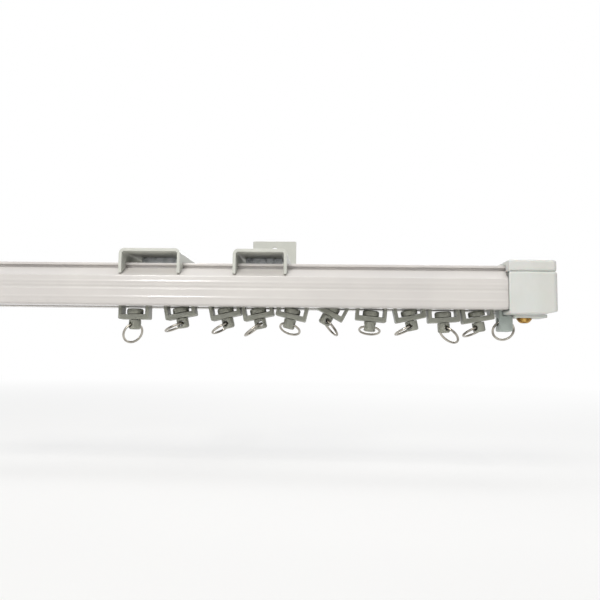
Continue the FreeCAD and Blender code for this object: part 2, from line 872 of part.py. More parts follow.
def build_ring(label, eye, swing, lift):
    """A closed wire ring through an eye whose bore runs along the eye's own X."""
    ring = doc.addObject("Part::Torus", label)
    ring.Label = label
    ring.setExpression("Radius1", "(dims.ring_diameter - dims.ring_wire) / 2")
    ring.setExpression("Radius2", "dims.ring_wire / 2")
    hang = (size("ring_diameter") - size("ring_wire")) / 2 - lift
    hanging = eye.multiply(turned((1, 0, 0), swing)).multiply(moved(0, 0, -hang))
    ring.Placement = hanging.multiply(turned((1, 0, 0), 90))
    return ring


def build_glider(number, tilt, turn, swing):
    yoke_place = yoke_placement(size(f"glider_{number}_place"), tilt)
    swivel_place = yoke_place.multiply(turned((0, 0, 1), turn))
    drop = size("yoke_drop") + size("swivel_gap") + size("swivel_stem_length")
    eye = swivel_place.multiply(moved(0, 0, size("eye_height") - drop))
    return [
        build_yoke(number, yoke_place),
        build_swivel(number, swivel_place),
        build_ring(f"glider_{number}_ring", eye, swing, size("ring_lift")),
    ]


# End stop, modelled with the cap's inner face at X = 0 and the rail's underside at zero


def build_end_stop():
    body = new_body("end_stop")
    start = "-dims.stop_gap"
    ledge = "-dims.cap_drop - dims.stop_clearance"
    profile = new_sketch(body, "XZ_Plane")
    polygon(
        profile,
        [
            (start, "-dims.stop_drop"),
            (f"{start} + dims.stop_length", "-dims.stop_drop"),
            (f"{start} + dims.stop_length", ledge),
            (f"{start} + dims.stop_neck", ledge),
            (f"{start} + dims.stop_neck", "dims.rail_lip + dims.stop_head_height"),
            (start, "dims.rail_lip + dims.stop_head_height"),
        ],
    )
    block = pad(body, profile, "dims.stop_depth")
    side = size("stop_length") - size("stop_gap")

    def lower_edge(edge):
        centre = edge.CenterOfMass
        return along(edge, 1) and (near(centre.z, -size("stop_drop")) or near(centre.x, side))

    fillet(body, block, "dims.stop_edge", lower_edge)
    head = new_sketch(body, "XZ_Plane")
    left = f"{start} + dims.stop_neck - dims.stop_head_length"
    polygon(
        head,
        [
            (left, "dims.rail_lip"),
            (f"{start} + dims.stop_neck", "dims.rail_lip"),
            (f"{start} + dims.stop_neck", "dims.rail_lip + dims.stop_head_height"),
            (left, "dims.rail_lip + dims.stop_head_height"),
        ],
    )
    pad(body, head, "dims.stop_head_depth")
    eye = new_sketch(body, "YZ_Plane")
    circle(eye, "0 mm", "-dims.stop_drop + dims.stop_eye_height", "dims.stop_eye_bore")
    pocket(body, eye, "4 * dims.stop_length", symmetric=True)
    body.Placement = cap_placement("right")
    middle = size("stop_length") / 2 - size("stop_gap")
    height = size("stop_eye_height") - size("stop_drop")
    eye_place = body.Placement.multiply(moved(middle, 0, height))
    ring = build_ring("end_stop_ring", eye_place, STOP_RING_SWING, size("stop_ring_lift"))
    return [body, ring]


# Build every piece, test it and write one file each

pieces = [build_rail()]
for side in BRACKETS:
    pieces += [build_cap_body(side), build_cap_lid(side)]
    pieces += build_cap_fasteners(side)
    pieces += [build_arm(side), build_jaw(side), build_foot(side)]
    pieces += build_bracket_fasteners(side)
for number, angles in enumerate(GLIDER_ANGLES, 1):
    pieces += build_glider(number, *angles)
pieces += build_end_stop()

doc.recompute()
for item in doc.Objects:
    if "Invalid" in item.State or "Error" in item.State:
        raise RuntimeError(f"{item.Name} has not been built: {item.State}")
for piece in pieces:
    if piece.Shape.isNull() or not piece.Shape.isValid():
        raise RuntimeError(f"{piece.Label} has no valid shape")
    piece.Shape.exportStep(f"parts/{piece.Label}.step")
print(len(pieces), "pieces written")
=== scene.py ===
import json
import math
import bmesh
import bpy
from mathutils import Matrix, Vector


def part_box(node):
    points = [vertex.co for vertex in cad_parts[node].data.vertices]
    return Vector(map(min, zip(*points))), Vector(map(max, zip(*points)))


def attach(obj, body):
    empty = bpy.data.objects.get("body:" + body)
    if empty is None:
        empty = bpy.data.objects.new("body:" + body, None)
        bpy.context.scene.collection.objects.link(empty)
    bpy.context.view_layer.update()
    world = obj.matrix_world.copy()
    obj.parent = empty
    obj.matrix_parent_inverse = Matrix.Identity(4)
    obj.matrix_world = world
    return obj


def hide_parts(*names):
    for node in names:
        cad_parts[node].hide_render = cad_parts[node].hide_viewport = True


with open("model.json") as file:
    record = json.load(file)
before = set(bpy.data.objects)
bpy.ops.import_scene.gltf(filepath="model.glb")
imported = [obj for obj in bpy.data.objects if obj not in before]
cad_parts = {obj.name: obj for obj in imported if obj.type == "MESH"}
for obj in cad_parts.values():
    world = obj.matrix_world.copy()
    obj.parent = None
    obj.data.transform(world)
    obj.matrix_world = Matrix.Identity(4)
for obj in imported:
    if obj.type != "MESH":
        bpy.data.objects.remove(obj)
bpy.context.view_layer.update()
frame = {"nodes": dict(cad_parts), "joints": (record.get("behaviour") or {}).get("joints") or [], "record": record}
nodes = frame["nodes"]
bodies = frame["record"]["behaviour"]["bodies"]
bodyOf = {node: body for body, members in bodies.items() for node in members}
scene = bpy.context.scene
mm = 0.001
noiseLow, noiseHigh = 0.35, 0.65  # most values of a noise texture lie between these
print("frame loaded,", len(nodes), "nodes")


def linear(code):  # sRGB hex to the linear colour that the shaders take
    channels = [int(code[n:n + 2], 16) / 255 for n in (0, 2, 4)]
    return [c / 12.92 if c <= 0.04045 else ((c + 0.055) / 1.055) ** 2.4 for c in channels] + [1.0]


def addNode(tree, kind, inputs=None, **settings):  # an input is either a value or another node's output
    node = tree.nodes.new(kind)
    for key, value in settings.items():
        setattr(node, key, value)
    for key, value in (inputs or {}).items():
        if isinstance(value, bpy.types.NodeSocket):
            tree.links.new(value, node.inputs[key])
        else:
            node.inputs[key].default_value = value
    return node


def every(size):  # texture scale that repeats a pattern every so many millimetres
    return 1 / (size * mm)


def startMaterial(name, shaderValues):
    material = bpy.data.materials.new(name)
    material.use_nodes = True
    shader = material.node_tree.nodes["Principled BSDF"]
    for key, value in shaderValues.items():
        shader.inputs[key].default_value = value
    return material, material.node_tree, shader


def deepToLight(tree, pattern, look):  # deep colour in the hollows of a pattern, light on its heights
    share = addNode(
        tree, "ShaderNodeMapRange", {"Value": pattern, "From Min": noiseLow, "From Max": noiseHigh}
    )
    colour = addNode(
        tree, "ShaderNodeMix", {0: share.outputs[0], 6: linear(look["deep"]), 7: linear(look["light"])},
        data_type="RGBA",
    )
    return colour.outputs[2]


def withSpecks(tree, place, colour, look):  # small round specks, each at its own spot in a coat
    cells = addNode(tree, "ShaderNodeTexVoronoi", {"Vector": place, "Scale": every(look["speckEvery"])})
    reach = look["speckSize"] / look["speckEvery"]
    specks = addNode(
        tree, "ShaderNodeMapRange", {"Value": cells.outputs["Distance"], "From Min": reach, "From Max": 0.0}
    )
    dusty = addNode(
        tree, "ShaderNodeMix", {0: specks.outputs[0], 6: colour, 7: linear(look["speck"])}, data_type="RGBA"
    )
    return dusty.outputs[2]


def tarnishToBright(tree, pattern, look):  # bare metal, from its tarnished patches to its bright ones
    ramp = addNode(tree, "ShaderNodeValToRGB", {"Fac": pattern})
    dull, middling, bright = look["tarnishStops"]
    stops = ramp.color_ramp.elements
    stops[0].position = dull
    stops[0].color = linear(look["tarnish"])
    stops[1].position = bright
    stops[1].color = linear(look["light"])
    stops.new(middling).color = linear(look["deep"])
    return ramp.outputs[0]


def roughnessBetween(tree, pattern, look, low=noiseLow, high=noiseHigh):  # the look's two values
    gloss = addNode(
        tree, "ShaderNodeMapRange",
        {"Value": pattern, "From Min": low, "From Max": high,
         "To Min": look["roughness"][0], "To Max": look["roughness"][1]},
    )
    return gloss.outputs[0]


def edgeShareInPatches(tree, place, look):  # 1 along the outer edges in patches, 0 on the flats
    flatCosine, edgeCosine = 0.995, 0.86  # the eased normal leans by 6 degrees, by 31 degrees
    eased = addNode(tree, "ShaderNodeBevel", {"Radius": look["edgeReach"] * mm}, samples=6)
    flat = addNode(tree, "ShaderNodeNewGeometry")
    facing = addNode(
        tree, "ShaderNodeVectorMath", {0: eased.outputs[0], 1: flat.outputs["Normal"]},
        operation="DOT_PRODUCT",
    )
    edge = addNode(
        tree, "ShaderNodeMapRange",
        {"Value": facing.outputs["Value"], "From Min": flatCosine, "From Max": edgeCosine,
         "To Max": look["edgeAmount"]},
    )
    patches = addNode(
        tree, "ShaderNodeTexNoise", {"Vector": place, "Scale": every(look["edgePatch"]), "Detail": 3.0}
    )
    worn = addNode(  # even the best kept stretch of an edge gets a quarter of the edge colour
        tree, "ShaderNodeMapRange",
        {"Value": patches.outputs[0], "From Min": 0.38, "From Max": 0.62, "To Min": 0.25},
    )
    edgeShare = addNode(tree, "ShaderNodeMath", {0: edge.outputs[0], 1: worn.outputs[0]}, operation="MULTIPLY")
    return edgeShare.outputs[0]


def withEdgeWearAndLight(tree, edgeShare, colour, look):  # the edge colour in patches along the edges: wear on rail and brackets, painted light on caps and nylon
    worn = addNode(tree, "ShaderNodeMix", {0: edgeShare, 6: colour, 7: linear(look["worn"])}, data_type="RGBA")
    return worn.outputs[2]


def smoothShade(mesh, sharpAngle):
    for face in mesh.polygons:
        face.use_smooth = True
    mesh.set_sharp_from_angle(angle=math.radians(sharpAngle))


def newObject(name, data):
    thing = bpy.data.objects.new(name, data)
    scene.collection.objects.link(thing)
    return thing


def easedCopy(node, width):  # the node's own shape with its edges broken as the real one's are
    work = bmesh.new()
    work.from_mesh(nodes[node].data)
    # weld the loose triangles and join those that lie in one face
    bmesh.ops.remove_doubles(work, verts=work.verts, dist=0.002 * mm)
    bmesh.ops.dissolve_limit(work, angle_limit=math.radians(0.6), verts=work.verts, edges=work.edges)
    mesh = bpy.data.meshes.new(node + "_finished")
    work.to_mesh(mesh)
    work.free()
    for face in mesh.polygons:
        face.use_smooth = True
    piece = newObject(node + "_finished", mesh)
    edge = piece.modifiers.new("edge", "BEVEL")
    edge.width = width * mm
    edge.segments = 2
    edge.limit_method = "ANGLE"
    edge.angle_limit = math.radians(25)  # a curved wall's facets turn by less
    edge.use_clamp_overlap = False  # else the facets of a small fillet hold every edge back
    flats = piece.modifiers.new("flats", "WEIGHTED_NORMAL")  # broad faces stay flat beside eased edges
    flats.keep_sharp = True
    evaluated = piece.evaluated_get(bpy.context.evaluated_depsgraph_get())
    made = bpy.data.meshes.new_from_object(evaluated)
    piece.modifiers.clear()
    piece.data = made
    return piece


def dress(piece, material, node):
    piece.data.materials.clear()
    piece.data.materials.append(material)
    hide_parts(node)
    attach(piece, bodyOf[node])


rail = {  # half widths and heights of its section in mm
    "slot": 5.5, "lip": 1.8, "depth": 16.5, "height": 27.5, "wall": 1.5,
    "groove": (9.9, 12.4), "grooveDepth": 0.22, "grooveFlank": 1.05, "faceTop": 18.5,
    "tee": 8.3, "teeThick": 1.6, "neck": 5.8, "shoulder": 24.0,
    "beads": (4.9, 14.6), "beadWidth": 2.6, "beadHeight": 0.13,  # soft swells that draw out a lamp's light
    "beadPoints": 9, "cornerPoints": 6, "sharpAngle": 35,
    "light": "d9d5d1", "deep": "d2cecb", "worn": "c6c2bd", "speck": "c1bcb5",
    "cloud": 40,  # the spray's slow change of thickness
    "drawLine": 2.4,  # the die's lines are 0.1 mm apart, drawn wider so that they show
    "peel": 1.3,  # ripple of a coat that flowed out in the stove
    "speckEvery": 9, "speckSize": 0.3,  # dust under the enamel
    "roughness": (0.2, 0.25), "drawDepth": 0.0005, "peelDepth": 0.0008,
    "edgeReach": 0.6, "edgeAmount": 0.5, "edgePatch": 9,
}


def stovedEnamel(look):  # white enamel stoved on aluminium: glossy, so each rib shows as a thin bright line
    material, tree, shader = startMaterial(
        "stovedEnamel", {"IOR": 1.5, "Coat Weight": 0.3, "Coat Roughness": 0.1}
    )
    place = addNode(tree, "ShaderNodeTexCoord").outputs["Object"]
    # the die's lines run along the rail
    along = addNode(tree, "ShaderNodeMapping", {"Vector": place, "Scale": (0.015, 1, 1)}).outputs[0]
    cloud = addNode(
        tree, "ShaderNodeTexNoise", {"Vector": place, "Scale": every(look["cloud"]), "Detail": 2.0}
    )
    coat = deepToLight(tree, cloud.outputs[0], look)
    dusty = withSpecks(tree, place, coat, look)
    edgeShare = edgeShareInPatches(tree, place, look)
    tree.links.new(withEdgeWearAndLight(tree, edgeShare, dusty, look), shader.inputs["Base Color"])
    lines = addNode(
        tree, "ShaderNodeTexNoise", {"Vector": along, "Scale": every(look["drawLine"]), "Detail": 4.0}
    )
    tree.links.new(roughnessBetween(tree, lines.outputs[0], look), shader.inputs["Roughness"])
    ripple = addNode(
        tree, "ShaderNodeTexNoise", {"Vector": place, "Scale": every(look["peel"]), "Detail": 2.0}
    )
    peel = addNode(
        tree, "ShaderNodeBump", {"Height": ripple.outputs[0], "Distance": look["peelDepth"] * mm}
    )
    drawn = addNode(
        tree, "ShaderNodeBump",
        {"Height": lines.outputs[0], "Distance": look["drawDepth"] * mm, "Normal": peel.outputs[0]},
    )
    tree.links.new(drawn.outputs[0], shader.inputs["Normal"])
    return material


def railSection():  # the extrusion's outline with its corners as the die leaves them
    front = rail["depth"] - rail["beadHeight"]
    low, high = rail["groove"]
    underTee = rail["height"] - rail["teeThick"]
    corners = [(rail["slot"], 0, 0.3), (front, 0, 1.5)]  # across, up, corner radius
    for bead in rail["beads"]:
        if bead > high:  # the groove comes between the two beads
            floor, flank = front - rail["grooveDepth"], rail["grooveFlank"]
            corners += [
                (front, low, 0.6), (floor, low + flank, 0.4),
                (floor, high - flank, 0.4), (front, high, 0.8),
            ]
        for n in range(rail["beadPoints"]):
            along = n / (rail["beadPoints"] - 1) - 0.5
            swell = 0.5 + 0.5 * math.cos(2 * math.pi * along)
            corners.append((front + rail["beadHeight"] * swell, bead + rail["beadWidth"] * along, 0))
    corners += [
        (front, rail["faceTop"], 1.0), (rail["tee"], rail["shoulder"], 0.4),
        (rail["neck"], rail["shoulder"], 0.25), (rail["neck"], underTee, 0.2),
        (rail["tee"], underTee, 0.15), (rail["tee"], rail["height"], 0.25),
    ]
    wall = rail["wall"]
    inside = [
        (rail["slot"], rail["lip"], 0.3), (rail["depth"] - wall, rail["lip"], 0.4),
        (rail["depth"] - wall, rail["faceTop"] - wall / 2, 0.6),
        (rail["tee"] - wall / 3, rail["shoulder"] - wall, 0.4),
        (rail["neck"] - wall, rail["shoulder"] - wall, 0.3), (rail["neck"] - wall, underTee, 0.3),
    ]
    loop = corners + [(-x, up, r) for x, up, r in reversed(corners)]
    loop += [(-x, up, r) for x, up, r in inside] + list(reversed(inside))
    points = []
    for before, corner, after in zip(loop[-1:] + loop[:-1], loop, loop[1:] + loop[:1]):
        here, radius = Vector(corner[:2]), corner[2]
        if not radius:
            points.append(here)
            continue
        back = (Vector(before[:2]) - here).normalized()
        on = (Vector(after[:2]) - here).normalized()
        half = back.angle(on) / 2
        centre = here + (back + on).normalized() * radius / math.sin(half)
        start = here + back * radius / math.tan(half) - centre
        end = here + on * radius / math.tan(half) - centre
        for n in range(rail["cornerPoints"]):
            share = n / (rail["cornerPoints"] - 1)
            points.append(centre + start.slerp(end, share) * radius)  # slerp gives unit vectors
    return points


def extrudedRail():
    low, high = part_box("rail")
    middle = (low[1] + high[1]) / 2
    work = bmesh.new()
    section = railSection()
    left, right = [
        [work.verts.new((x, middle + p.x * mm, low[2] + p.y * mm)) for p in section]
        for x in (low[0], high[0])
    ]
    for n in range(len(section)):
        m = (n + 1) % len(section)
        work.faces.new((left[n], left[m], right[m], right[n]))
    for end in (left, right):
        work.faces.new(end)
    bmesh.ops.triangulate(work, faces=[face for face in work.faces if len(face.verts) > 4])
    bmesh.ops.recalc_face_normals(work, faces=work.faces)
    mesh = bpy.data.meshes.new("rail_extrusion")
    work.to_mesh(mesh)
    work.free()
    smoothShade(mesh, rail["sharpAngle"])
    return newObject("rail_extrusion", mesh)


railEnamel = stovedEnamel(rail)
dress(extrudedRail(), railEnamel, "rail")
print("rail extruded and enamelled")

caps = {  # a body, a lid and a foot plate at each end of the rail
    # the edge colour is lighter than the body: a painted highlight along the rounded rims
    "light": "dadbd7", "deep": "d3d4ce", "worn": "e6e7e3",
    "flow": 16,  # cloudy streaks where the melt met itself
    "grain": 0.5,  # the tool's spark-eroded grain is 0.15 mm, drawn coarser
    "cloudiness": 0.12, "depth": 4,  # share of the light that goes in, and how far in mm
    "roughness": (0.34, 0.46), "handledRoughness": 0.25, "grainDepth": 0.008,
    "edgeReach": 0.6, "edgeAmount": 0.6, "edgePatch": 6,
    "easedEdges": {"cap_body": 0.8, "cap_lid": 0.5, "cap_foot": 0.5},
}


def mouldedAbs(look):  # white ABS from a spark-eroded mould: satin, soft broad lights, a little depth
    material, tree, shader = startMaterial(
        "mouldedAbs",
        {"IOR": 1.53, "Subsurface Weight": look["cloudiness"], "Subsurface Scale": look["depth"] * mm},
    )
    place = addNode(tree, "ShaderNodeTexCoord").outputs["Object"]
    # the melt ran up the walls
    melt = addNode(tree, "ShaderNodeMapping", {"Vector": place, "Scale": (1, 1, 0.4)}).outputs[0]
    flow = addNode(
        tree, "ShaderNodeTexNoise",
        {"Vector": melt, "Scale": every(look["flow"]), "Detail": 3.0, "Distortion": 0.6},
    )
    body = deepToLight(tree, flow.outputs[0], look)
    # the edges are painted lighter here, a painted highlight; the same share also makes them glossier, as handling
    # polishes them
    edgeShare = edgeShareInPatches(tree, place, look)
    tree.links.new(withEdgeWearAndLight(tree, edgeShare, body, look), shader.inputs["Base Color"])
    gloss = roughnessBetween(tree, flow.outputs[0], look)
    polished = addNode(tree, "ShaderNodeMath", {0: gloss, 1: edgeShare}, operation="SUBTRACT")
    handled = addNode(
        tree, "ShaderNodeMath", {0: polished.outputs[0], 1: look["handledRoughness"]}, operation="MAXIMUM"
    )
    tree.links.new(handled.outputs[0], shader.inputs["Roughness"])
    grain = addNode(
        tree, "ShaderNodeTexNoise", {"Vector": place, "Scale": every(look["grain"]), "Detail": 2.0}
    )
    sparked = addNode(
        tree, "ShaderNodeBump", {"Height": grain.outputs[0], "Distance": look["grainDepth"] * mm}
    )
    tree.links.new(sparked.outputs[0], shader.inputs["Normal"])
    return material


capAbs = mouldedAbs(caps)
for side in ("right", "left"):
    for part, width in caps["easedEdges"].items():
        node = f"{side}_{part}"
        dress(easedCopy(node, width), capAbs, node)
print("end caps moulded")

brackets = {  # folded arms and the feet they hang from
    "light": "cfd0c8", "deep": "c4c5bd", "worn": "a8a8a1", "speck": "a9a9a1",
    "cloud": 22,  # where the powder lay thicker
    "peel": 1.6,  # orange peel of a powder coat
    "speckEvery": 6, "speckSize": 0.35,  # dirt baked into the coat
    "roughness": (0.36, 0.5), "peelDepth": 0.02,
    "edgeReach": 0.35, "edgeAmount": 0.6, "edgePatch": 5, "easedEdge": 0.25,
}


def powderCoat(look):  # polyester powder baked on folded steel: pebbled half-gloss, greyer at the cut edges
    material, tree, shader = startMaterial(
        "powderCoat", {"IOR": 1.5, "Coat Weight": 0.1, "Coat Roughness": 0.3}
    )
    place = addNode(tree, "ShaderNodeTexCoord").outputs["Object"]
    cloud = addNode(
        tree, "ShaderNodeTexNoise", {"Vector": place, "Scale": every(look["cloud"]), "Detail": 3.0}
    )
    coat = deepToLight(tree, cloud.outputs[0], look)
    dirty = withSpecks(tree, place, coat, look)
    edgeShare = edgeShareInPatches(tree, place, look)
    tree.links.new(withEdgeWearAndLight(tree, edgeShare, dirty, look), shader.inputs["Base Color"])
    tree.links.new(roughnessBetween(tree, cloud.outputs[0], look), shader.inputs["Roughness"])
    pebbles = addNode(
        tree, "ShaderNodeTexNoise", {"Vector": place, "Scale": every(look["peel"]), "Detail": 2.0}
    )
    peel = addNode(
        tree, "ShaderNodeBump", {"Height": pebbles.outputs[0], "Distance": look["peelDepth"] * mm}
    )
    tree.links.new(peel.outputs[0], shader.inputs["Normal"])
    return material


bracketCoat = powderCoat(brackets)
for node in ("right_bracket_arm", "left_bracket_arm", "right_bracket_foot", "left_bracket_foot"):
    dress(easedCopy(node, brackets["easedEdge"]), bracketCoat, node)
print("brackets coated")

zinc = {  # clamp jaws, bracket screws and all the nuts
    "light": "c2c4c6", "deep": "8f9294", "bloom": "d2d3d1",
    "bright": 4,  # patches where the bath plated brighter
    "bloomEvery": 3.5, "bloomSize": 0.7, "bloomAmount": 0.5,  # white storage bloom
    "rolling": 0.5,  # the strip's rolling lines, 0.05 mm apart, drawn wider
    "roughness": (0.24, 0.42), "rollingDepth": 0.004,
    "easedEdges": {"bracket_jaw": 0.2, "bracket_screws": 0.12, "bracket_nuts": 0.3, "cap_nut": 0.15},
}


def zincPlate(look):  # zinc electroplated on pressed steel: cold, half bright, with a chalky bloom in spots
    material, tree, shader = startMaterial("zincPlate", {"Metallic": 1.0})
    place = addNode(tree, "ShaderNodeTexCoord").outputs["Object"]
    # the strip was rolled lengthwise
    along = addNode(tree, "ShaderNodeMapping", {"Vector": place, "Scale": (0.05, 1, 1)}).outputs[0]
    patches = addNode(
        tree, "ShaderNodeTexNoise", {"Vector": place, "Scale": every(look["bright"]), "Detail": 4.0}
    )
    plate = deepToLight(tree, patches.outputs[0], look)
    spots = addNode(tree, "ShaderNodeTexVoronoi", {"Vector": place, "Scale": every(look["bloomEvery"])})
    chalk = addNode(
        tree, "ShaderNodeMapRange",
        {"Value": spots.outputs["Distance"], "From Min": look["bloomSize"] / look["bloomEvery"],
         "From Max": 0.0, "To Max": look["bloomAmount"]},
    )
    bloomed = addNode(
        tree, "ShaderNodeMix", {0: chalk.outputs[0], 6: plate, 7: linear(look["bloom"])}, data_type="RGBA"
    )
    tree.links.new(bloomed.outputs[2], shader.inputs["Base Color"])
    gloss = roughnessBetween(tree, patches.outputs[0], look)
    dulled = addNode(tree, "ShaderNodeMath", {0: gloss, 1: chalk.outputs[0]}, operation="ADD")
    tree.links.new(dulled.outputs[0], shader.inputs["Roughness"])
    lines = addNode(
        tree, "ShaderNodeTexNoise", {"Vector": along, "Scale": every(look["rolling"]), "Detail": 3.0}
    )
    rolled = addNode(
        tree, "ShaderNodeBump", {"Height": lines.outputs[0], "Distance": look["rollingDepth"] * mm}
    )
    tree.links.new(rolled.outputs[0], shader.inputs["Normal"])
    return material


brightZinc = zincPlate(zinc)
for side in ("right", "left"):
    for part, width in zinc["easedEdges"].items():
        node = f"{side}_{part}"
        dress(easedCopy(node, width), brightZinc, node)
print("jaws, bracket screws and nuts plated")

capScrews = {  # one up through each foot plate
    "light": "d6b066", "deep": "a67f3e", "tarnish": "7d5f33",
    "tarnishPatch": 2.2, "tarnishStops": (0.34, 0.47, 0.66),
    "turning": 0.4,  # tool marks are 0.1 mm apart, drawn wider
    "roughness": (0.34, 0.18), "turningDepth": 0.005,  # rough where tarnished, smooth where bright
    "easedEdge": 0.12,
}


def headedBrass(look):  # cold-headed yellow brass: warm bright lights, browner where it has tarnished
    material, tree, shader = startMaterial("headedBrass", {"Metallic": 1.0})
    place = addNode(tree, "ShaderNodeTexCoord").outputs["Object"]
    patches = addNode(
        tree, "ShaderNodeTexNoise", {"Vector": place, "Scale": every(look["tarnishPatch"]), "Detail": 4.0}
    )
    tree.links.new(tarnishToBright(tree, patches.outputs[0], look), shader.inputs["Base Color"])
    tree.links.new(roughnessBetween(tree, patches.outputs[0], look), shader.inputs["Roughness"])
    marks = addNode(
        tree, "ShaderNodeTexNoise", {"Vector": place, "Scale": every(look["turning"]), "Detail": 3.0}
    )
    turned = addNode(
        tree, "ShaderNodeBump", {"Height": marks.outputs[0], "Distance": look["turningDepth"] * mm}
    )
    tree.links.new(turned.outputs[0], shader.inputs["Normal"])
    return material


screwBrass = headedBrass(capScrews)
for node in ("right_cap_screw", "left_cap_screw"):
    dress(easedCopy(node, capScrews["easedEdge"]), screwBrass, node)
print("cap screws made")

gliders = {  # a yoke and a swivel each
    # light and deep are partly the nylon's own greyish tone, partly painted shade of the rail over the gliders;
    # the paler edge colour is painted light through the thin nylon
    "light": "a0a196", "deep": "8d8e83", "worn": "b2b3a8",
    "flow": 7,  # milky clouds in the wall
    "grain": 0.6,  # matt tool finish of 0.1 mm, drawn coarser
    "cloudiness": 0.4, "depth": 3,  # share of the light that goes in, and how far in mm
    "roughness": (0.3, 0.46), "grainDepth": 0.008,
    "edgeReach": 0.5, "edgeAmount": 0.6, "edgePatch": 3,
    "easedEdges": {"yoke": 0.35, "swivel": 0.3},
}
endStop = dict(  # a cooler, less milky batch of the same nylon, without the gliders' painted shade
    gliders, light="b2bab5", deep="a0a9a4", worn="c0c7c2", cloudiness=0.25, flow=9, easedEdge=0.3
)


def mouldedNylon(name, look):  # natural nylon: greyish milk, lit a little from within, with the edges painted paler as light through the thin nylon
    material, tree, shader = startMaterial(
        name,
        {"IOR": 1.53, "Subsurface Weight": look["cloudiness"], "Subsurface Scale": look["depth"] * mm,
         "Subsurface Radius": (1.0, 1.0, 0.9)},
    )
    place = addNode(tree, "ShaderNodeTexCoord").outputs["Object"]
    flow = addNode(
        tree, "ShaderNodeTexNoise",
        {"Vector": place, "Scale": every(look["flow"]), "Detail": 3.0, "Distortion": 1.0},
    )
    milk = deepToLight(tree, flow.outputs[0], look)
    # the edges are painted paler: painted light through the thin nylon there
    edgeShare = edgeShareInPatches(tree, place, look)
    tree.links.new(withEdgeWearAndLight(tree, edgeShare, milk, look), shader.inputs["Base Color"])
    tree.links.new(roughnessBetween(tree, flow.outputs[0], look), shader.inputs["Roughness"])
    grain = addNode(
        tree, "ShaderNodeTexNoise", {"Vector": place, "Scale": every(look["grain"]), "Detail": 2.0}
    )
    matt = addNode(
        tree, "ShaderNodeBump", {"Height": grain.outputs[0], "Distance": look["grainDepth"] * mm}
    )
    tree.links.new(matt.outputs[0], shader.inputs["Normal"])
    return material


gliderNylon = mouldedNylon("gliderNylon", gliders)
stopNylon = mouldedNylon("stopNylon", endStop)
for node in sorted(nodes):
    for part, width in gliders["easedEdges"].items():
        if node.endswith(part):
            dress(easedCopy(node, width), gliderNylon, node)
dress(easedCopy("end_stop", endStop["easedEdge"]), stopNylon, "end_stop")
print("gliders and end stop moulded")

rings = {  # one under each glider and one in the end stop
    "middle": 6.45, "wire": 0.75,  # radius in mm to the wire's centre, and the wire's own
    "jointAt": 62, "jointGap": 0.16, "jointDepth": 0.09,  # where the wire's ends meet, in degrees, and mm
    "around": 120, "across": 20, "sharpAngle": 60,  # faces round the ring and round the wire
    "light": "b9b4aa", "deep": "99948b", "tarnish": "6e6a61",
    "tarnishPatch": 5, "tarnishStops": (0.3, 0.42, 0.6),
    "drawLine": 0.6,  # drawing lines of 0.05 mm, drawn wider
    "roughness": (0.22, 0.12), "drawDepth": 0.0006,  # rough where tarnished, smooth where bright
}


def nickelWire(look):  # nickel on drawn steel wire: hard bright lights beside near-black ones, a shade warm
    material, tree, shader = startMaterial("nickelWire", {"Metallic": 1.0})
    place = addNode(tree, "ShaderNodeTexCoord").outputs["Object"]
    patches = addNode(
        tree, "ShaderNodeTexNoise", {"Vector": place, "Scale": every(look["tarnishPatch"]), "Detail": 4.0}
    )
    tree.links.new(tarnishToBright(tree, patches.outputs[0], look), shader.inputs["Base Color"])
    dull, _, bright = look["tarnishStops"]
    gloss = roughnessBetween(tree, patches.outputs[0], look, dull, bright)
    tree.links.new(gloss, shader.inputs["Roughness"])
    lines = addNode(
        tree, "ShaderNodeTexNoise", {"Vector": place, "Scale": every(look["drawLine"]), "Detail": 2.0}
    )
    drawn = addNode(
        tree, "ShaderNodeBump", {"Height": lines.outputs[0], "Distance": look["drawDepth"] * mm}
    )
    tree.links.new(drawn.outputs[0], shader.inputs["Normal"])
    return material


def wireRing(node, eye, holeAxis):  # round wire bent to a ring, its two cut ends butted together
    points = [v.co for v in nodes[node].data.vertices]
    centre = sum(points, Vector()) / len(points)
    down = (centre - eye).normalized()
    normal = holeAxis.cross(down).normalized()
    side = down.cross(normal).normalized()
    middle, wire = rings["middle"] * mm, rings["wire"] * mm
    seat = math.radians(rings["jointAt"])
    gap = rings["jointGap"] / rings["middle"]
    stations = [(2 * math.pi * n / rings["around"], 1.0) for n in range(rings["around"])]
    stations = [s for s in stations if abs(s[0] - seat) > gap * 1.2]  # room for the joint's own three
    stations += [(seat - gap, 1.0), (seat, 1 - rings["jointDepth"] / rings["wire"]), (seat + gap, 1.0)]
    work = bmesh.new()
    rows = []
    for angle, swell in sorted(stations):
        out = down * math.cos(angle) + side * math.sin(angle)
        row = []
        for n in range(rings["across"]):
            turn = 2 * math.pi * n / rings["across"]
            offset = (out * math.cos(turn) + normal * math.sin(turn)) * wire * swell
            row.append(work.verts.new(centre + out * middle + offset))
        rows.append(row)
    for first, second in zip(rows, rows[1:] + rows[:1]):
        for n in range(rings["across"]):
            m = (n + 1) % rings["across"]
            work.faces.new((first[n], first[m], second[m], second[n]))
    bmesh.ops.recalc_face_normals(work, faces=work.faces)
    mesh = bpy.data.meshes.new(node + "_wire")
    work.to_mesh(mesh)
    work.free()
    smoothShade(mesh, rings["sharpAngle"])
    return newObject(node + "_wire", mesh)


ringNickel = nickelWire(rings)
for joint in frame["joints"]:
    name = joint["name"]
    if name.endswith("ring_swing"):
        node = "end_stop_ring" if name.startswith("end") else name.replace("_swing", "")
        ring = wireRing(node, Vector(joint["pos_m"]), Vector(joint["axis"]))
        dress(ring, ringNickel, node)
print("rings bent")

stage = {  # paper floor and the white round it
    "floor": "ecebe8", "level": -0.16, "reach": 30.0,
    "paleness": 0.62,  # share of plain white under the object, where the rest keeps the shadow
    "fadeFrom": 0.2, "fadeTo": 1.6,  # metres out, where the floor turns into the white background
    "sky": "e6e9ee", "skyStrength": 0.34,
}
white = (1, 1, 1, 1)


